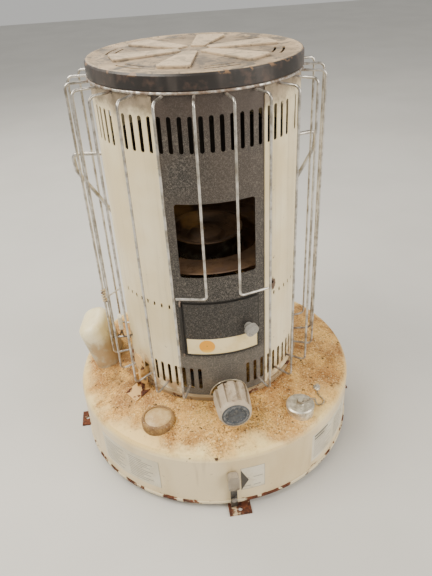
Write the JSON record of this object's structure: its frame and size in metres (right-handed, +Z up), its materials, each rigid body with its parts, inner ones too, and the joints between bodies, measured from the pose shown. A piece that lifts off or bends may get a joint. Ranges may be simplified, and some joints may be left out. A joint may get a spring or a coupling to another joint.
{
  "type": "kerosene heater",
  "caption": "Round portable kerosene room heater with a wick burner in a slotted cabinet, a wire guard, a front door and a wide fuel tank base.",
  "frame": {"origin": "on the floor under the middle of the round base", "axes": "+Z up, the front with its door and wick knob faces -Y, +X to the right seen from the front"},
  "size_m": [0.494, 0.494, 0.6145],
  "materials": {
    "cream_enamel": "worn gloss enamel",
    "tank_metal": "rusted steel",
    "hammered_charcoal": "hammered enamel",
    "lid_enamel": "worn beige and black enamel",
    "guard_chrome": "dull chrome plate",
    "plated_steel": "zinc plate",
    "burner_steel": "heat-tinted",
    "clear_glass": "clear",
    "gauge_cover": "yellowed clear",
    "knob_plastic": "moulded",
    "grey_plastic": "moulded",
    "dark_plastic": "moulded",
    "gauge_plastic": "aged",
    "needle_paint": "gloss",
    "wick_cloth": "woven",
    "strainer_mesh": "fine mesh",
    "gasket_rubber": "matt",
    "battery_plastic": "aged white",
    "lead_insulation": "matt"
  },
  "bodies": {
    "heater": {"adjuster_housing": "tank_metal", "back_panel": "cream_enamel", "battery_case": "battery_plastic", "battery_cells": "dark_plastic", "burner_base": "burner_steel", "burner_cap": "burner_steel", "burner_screws": "tank_metal", "cabinet_base_ring": "tank_metal", "cap_chain": "plated_steel", "chain_anchor": "plated_steel", "door_hinge_pin": "plated_steel", "filler_neck": "plated_steel", "flame_tube_inner": "burner_steel", "flame_tube_outer": "burner_steel", "foot_back": "tank_metal", "foot_front": "tank_metal", "foot_left": "tank_metal", "foot_right": "tank_metal", "front_panel": "hammered_charcoal", "fuel_strainer": "strainer_mesh", "fuel_tank_bottom": "tank_metal", "fuel_tank_top": "cream_enamel", "gauge_bezel": "gauge_plastic", "gauge_dial": "plated_steel", "gauge_lens": "gauge_cover", "glass_chimney": "clear_glass", "guard_front_wires": "guard_chrome", "guard_ring": "guard_chrome", "guard_wires_left": "guard_chrome", "guard_wires_right": "guard_chrome", "heat_baffle": "burner_steel", "igniter_bracket": "plated_steel", "igniter_leads": "lead_insulation", "igniter_pin": "plated_steel", "rear_reflector": "burner_steel", "shutoff_pivot": "tank_metal", "side_handle_left": "guard_chrome", "side_handle_right": "guard_chrome", "side_panel_left": "cream_enamel", "side_panel_right": "cream_enamel", "top_plate": "lid_enamel", "wick_tube_inner": "burner_steel", "wick_tube_outer": "burner_steel"},
    "filler_cap": {"filler_cap": "plated_steel", "filler_cap_gasket": "gasket_rubber"},
    "gauge_needle": {"gauge_needle": "needle_paint"},
    "gauge_float": {"gauge_float": "dark_plastic"},
    "wick": {"wick": "wick_cloth", "wick_carrier": "plated_steel"},
    "wick_knob": {"adjuster_shaft": "plated_steel", "wick_knob": "knob_plastic", "knob_face": "dark_plastic"},
    "igniter": {"igniter_lever": "plated_steel", "igniter_coil": "grey_plastic"},
    "door": {"front_door": "hammered_charcoal"},
    "door_knob": {"door_knob": "grey_plastic"},
    "shutoff": {"shutoff_lever": "tank_metal", "shutoff_cap": "grey_plastic"},
    "battery_lid": {"battery_lid": "battery_plastic"},
    "tip_weight": {"tip_weight": "tank_metal"}
  },
  "joints": [
    {"name": "filler_cap_turn", "type": "hinge", "parent": "heater", "child": "filler_cap", "pos_m": [0.10964, -0.16439, 0.1232], "axis": [0, 0, 1], "range_deg": [0, 360]},
    {"name": "float_swing", "type": "hinge", "parent": "heater", "child": "gauge_float", "pos_m": [-0.10604, -0.14976, 0.104], "axis": [-0.342, 0.9397, 0], "range_deg": [0, 40]},
    {"name": "needle_turn", "type": "hinge", "parent": "heater", "child": "gauge_needle", "pos_m": [-0.10604, -0.14976, 0.126], "axis": [0, 0, 1], "range_deg": [0, 80]},
    {"name": "knob_turn", "type": "hinge", "parent": "heater", "child": "wick_knob", "pos_m": [0.005, -0.1, 0.159], "axis": [0, 1, 0], "range_deg": [0, 110]},
    {"name": "wick_lift", "type": "slide", "parent": "heater", "child": "wick", "axis": [0, 0, 1], "range_m": [0, 0.01155]},
    {"name": "igniter_press", "type": "hinge", "parent": "heater", "child": "igniter", "pos_m": [-0.12412, -0.08061, 0.152], "axis": [-0.5446, 0.8387, 0], "range_deg": [0, 8], "stiffness_Nm_per_rad": 0.3, "springref_deg": -17.19},
    {"name": "door_swing", "type": "hinge", "parent": "heater", "child": "door", "pos_m": [-0.05619, -0.12801, 0.2675], "axis": [0, 0, -1], "range_deg": [0, 80]},
    {"name": "door_knob_turn", "type": "hinge", "parent": "door", "child": "door_knob", "pos_m": [0.03765, -0.13484, 0.2655], "axis": [-0.2689, 0.9632, 0], "range_deg": [0, 90]},
    {"name": "shutoff_push", "type": "hinge", "parent": "heater", "child": "shutoff", "pos_m": [-0.008, -0.234, 0.024], "axis": [0, 1, 0], "range_deg": [0, 15], "stiffness_Nm_per_rad": 0.1},
    {"name": "battery_lid_lift", "type": "slide", "parent": "heater", "child": "battery_lid", "axis": [-0.2605, 0.0389, 0.9647], "range_m": [0, 0.03]},
    {"name": "tip_weight_swing", "type": "hinge", "parent": "heater", "child": "tip_weight", "pos_m": [-0.04, -0.098, 0.183], "axis": [0, 1, 0], "range_deg": [-12, 12]}
  ],
  "couplings": [
    {"joint": "wick_lift", "follows": "knob_turn", "m_per_rad": 0.006},
    {"joint": "needle_turn", "follows": "float_swing", "ratio": 2}
  ]
}
